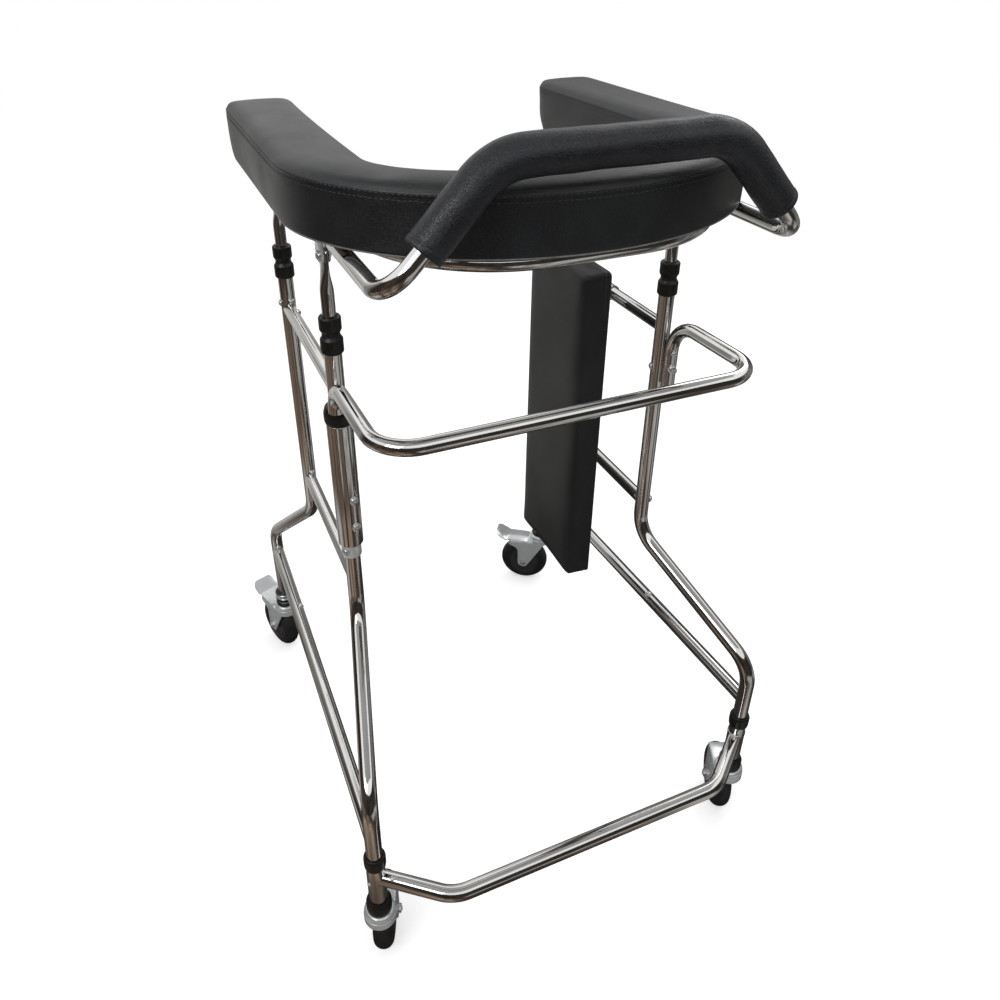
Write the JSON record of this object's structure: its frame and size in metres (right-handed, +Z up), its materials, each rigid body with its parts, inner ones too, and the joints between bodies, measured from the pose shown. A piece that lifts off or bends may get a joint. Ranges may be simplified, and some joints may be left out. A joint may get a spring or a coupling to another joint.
{
  "type": "wheeled standing walker",
  "caption": "Tall chrome tube walking frame on swivel casters with a horseshoe forearm pad, an arched grip, a waist guard bar and a flip-up seat board.",
  "frame": {"origin": "middle of the footprint on the floor, under the forearm pad", "axes": "+Z up, -Y the front (crossbar, guard bar and handle), +X the side with the seat board"},
  "size_m": [0.6844, 0.8433, 1.1557],
  "materials": {
    "chrome": "bright polished plating",
    "zinc": "bright zinc plate, slightly dull",
    "black_plastic": "moulded black, satin",
    "black_cover": "smooth black vinyl, satin",
    "grip_sleeve": "soft black sleeve, satin",
    "board_wood": "plywood, unfinished",
    "tyre_black": "solid black tread",
    "rest_rubber": "matt black"
  },
  "bodies": {
    "frame": {"left_front_post": "chrome", "left_rear_post": "chrome", "right_front_post": "chrome", "right_rear_post": "chrome", "left_upper_rail": "chrome", "left_mid_rail": "chrome", "left_lower_rail": "chrome", "right_upper_rail": "chrome", "right_mid_rail": "chrome", "right_lower_rail": "chrome", "front_crossbar": "chrome", "guard_bar": "chrome", "guard_socket_sleeve": "chrome", "guard_socket_collar": "black_plastic", "guard_band_clamp": "zinc", "left_foot_sleeve": "zinc", "right_foot_sleeve": "zinc", "left_foot_collar": "black_plastic", "right_foot_collar": "black_plastic", "left_front_post_bush": "black_plastic", "left_rear_post_bush": "black_plastic", "right_front_post_bush": "black_plastic", "right_rear_post_bush": "black_plastic", "left_front_caster_socket": "black_plastic", "left_rear_caster_socket": "black_plastic", "right_front_caster_socket": "black_plastic", "right_rear_caster_socket": "black_plastic"},
    "pad_carriage": {"left_front_inner_post": "chrome", "left_rear_inner_post": "chrome", "right_front_inner_post": "chrome", "right_rear_inner_post": "chrome", "left_front_pad_bracket": "zinc", "left_rear_pad_bracket": "zinc", "right_front_pad_bracket": "zinc", "right_rear_pad_bracket": "zinc", "pad_board": "board_wood", "forearm_pad": "black_cover", "pad_support_tube": "chrome", "handle_tube": "chrome", "handle_grip": "grip_sleeve"},
    "left_front_nut": {"left_front_clamp_nut": "black_plastic"},
    "left_rear_nut": {"left_rear_clamp_nut": "black_plastic"},
    "right_front_nut": {"right_front_clamp_nut": "black_plastic"},
    "right_rear_nut": {"right_rear_clamp_nut": "black_plastic"},
    "seat": {"seat_board": "black_cover", "front_seat_hinge": "zinc", "rear_seat_hinge": "zinc", "front_seat_rest": "rest_rubber", "rear_seat_rest": "rest_rubber"},
    "left_front_fork": {"left_front_caster_fork": "zinc"},
    "left_front_wheel": {"left_front_caster_wheel": "tyre_black"},
    "right_front_fork": {"right_front_caster_fork": "zinc"},
    "right_front_wheel": {"right_front_caster_wheel": "tyre_black"},
    "left_rear_fork": {"left_rear_caster_fork": "zinc"},
    "left_rear_wheel": {"left_rear_caster_wheel": "tyre_black"},
    "left_pedal": {"left_brake_pedal": "zinc"},
    "right_rear_fork": {"right_rear_caster_fork": "zinc"},
    "right_rear_wheel": {"right_rear_caster_wheel": "tyre_black"},
    "right_pedal": {"right_brake_pedal": "zinc"}
  },
  "joints": [
    {"name": "pad_height", "type": "slide", "parent": "frame", "child": "pad_carriage", "axis": [0, 0, 1], "range_m": [-0.035, 0.1]},
    {"name": "left_front_nut_turn", "type": "hinge", "parent": "frame", "child": "left_front_nut", "pos_m": [-0.236, -0.108, 0.903], "axis": [0, 0, 1], "range_deg": [0, 90]},
    {"name": "left_rear_nut_turn", "type": "hinge", "parent": "frame", "child": "left_rear_nut", "pos_m": [-0.236, 0.165, 0.903], "axis": [0, 0, 1], "range_deg": [0, 90]},
    {"name": "right_front_nut_turn", "type": "hinge", "parent": "frame", "child": "right_front_nut", "pos_m": [0.236, -0.108, 0.903], "axis": [0, 0, 1], "range_deg": [0, 90]},
    {"name": "right_rear_nut_turn", "type": "hinge", "parent": "frame", "child": "right_rear_nut", "pos_m": [0.236, 0.165, 0.903], "axis": [0, 0, 1], "range_deg": [0, 90]},
    {"name": "seat_flip", "type": "hinge", "parent": "frame", "child": "seat", "pos_m": [0.236, 0.054, 0.82], "axis": [0, 1, 0], "range_deg": [0, 90]},
    {"name": "left_front_swivel", "type": "hinge", "parent": "frame", "child": "left_front_fork", "pos_m": [-0.296, -0.342, 0.12], "axis": [0, 0, 1], "continuous": true},
    {"name": "left_front_roll", "type": "hinge", "parent": "left_front_fork", "child": "left_front_wheel", "pos_m": [-0.28027, -0.30306, 0.052], "axis": [-0.9272, 0.3746, 0], "continuous": true},
    {"name": "right_front_swivel", "type": "hinge", "parent": "frame", "child": "right_front_fork", "pos_m": [0.296, -0.342, 0.12], "axis": [0, 0, 1], "continuous": true},
    {"name": "right_front_roll", "type": "hinge", "parent": "right_front_fork", "child": "right_front_wheel", "pos_m": [0.31441, -0.30425, 0.052], "axis": [-0.8988, 0.4384, 0], "continuous": true},
    {"name": "left_rear_swivel", "type": "hinge", "parent": "frame", "child": "left_rear_fork", "pos_m": [-0.287, 0.327, 0.12], "axis": [0, 0, 1], "continuous": true},
    {"name": "left_rear_roll", "type": "hinge", "parent": "left_rear_fork", "child": "left_rear_wheel", "pos_m": [-0.29807, 0.35915, 0.052], "axis": [-0.9455, -0.3256, 0], "continuous": true},
    {"name": "left_brake_press", "type": "hinge", "parent": "left_rear_fork", "child": "left_pedal", "pos_m": [-0.30686, 0.38468, 0.1067], "axis": [-0.9455, -0.3256, 0], "range_deg": [0, 14]},
    {"name": "right_rear_swivel", "type": "hinge", "parent": "frame", "child": "right_rear_fork", "pos_m": [0.287, 0.327, 0.12], "axis": [0, 0, 1], "continuous": true},
    {"name": "right_rear_roll", "type": "hinge", "parent": "right_rear_fork", "child": "right_rear_wheel", "pos_m": [0.25915, 0.3465, 0.052], "axis": [-0.5736, -0.8192, 0], "continuous": true},
    {"name": "right_brake_press", "type": "hinge", "parent": "right_rear_fork", "child": "right_pedal", "pos_m": [0.23703, 0.36199, 0.1067], "axis": [-0.5736, -0.8192, 0], "range_deg": [0, 14]}
  ]
}
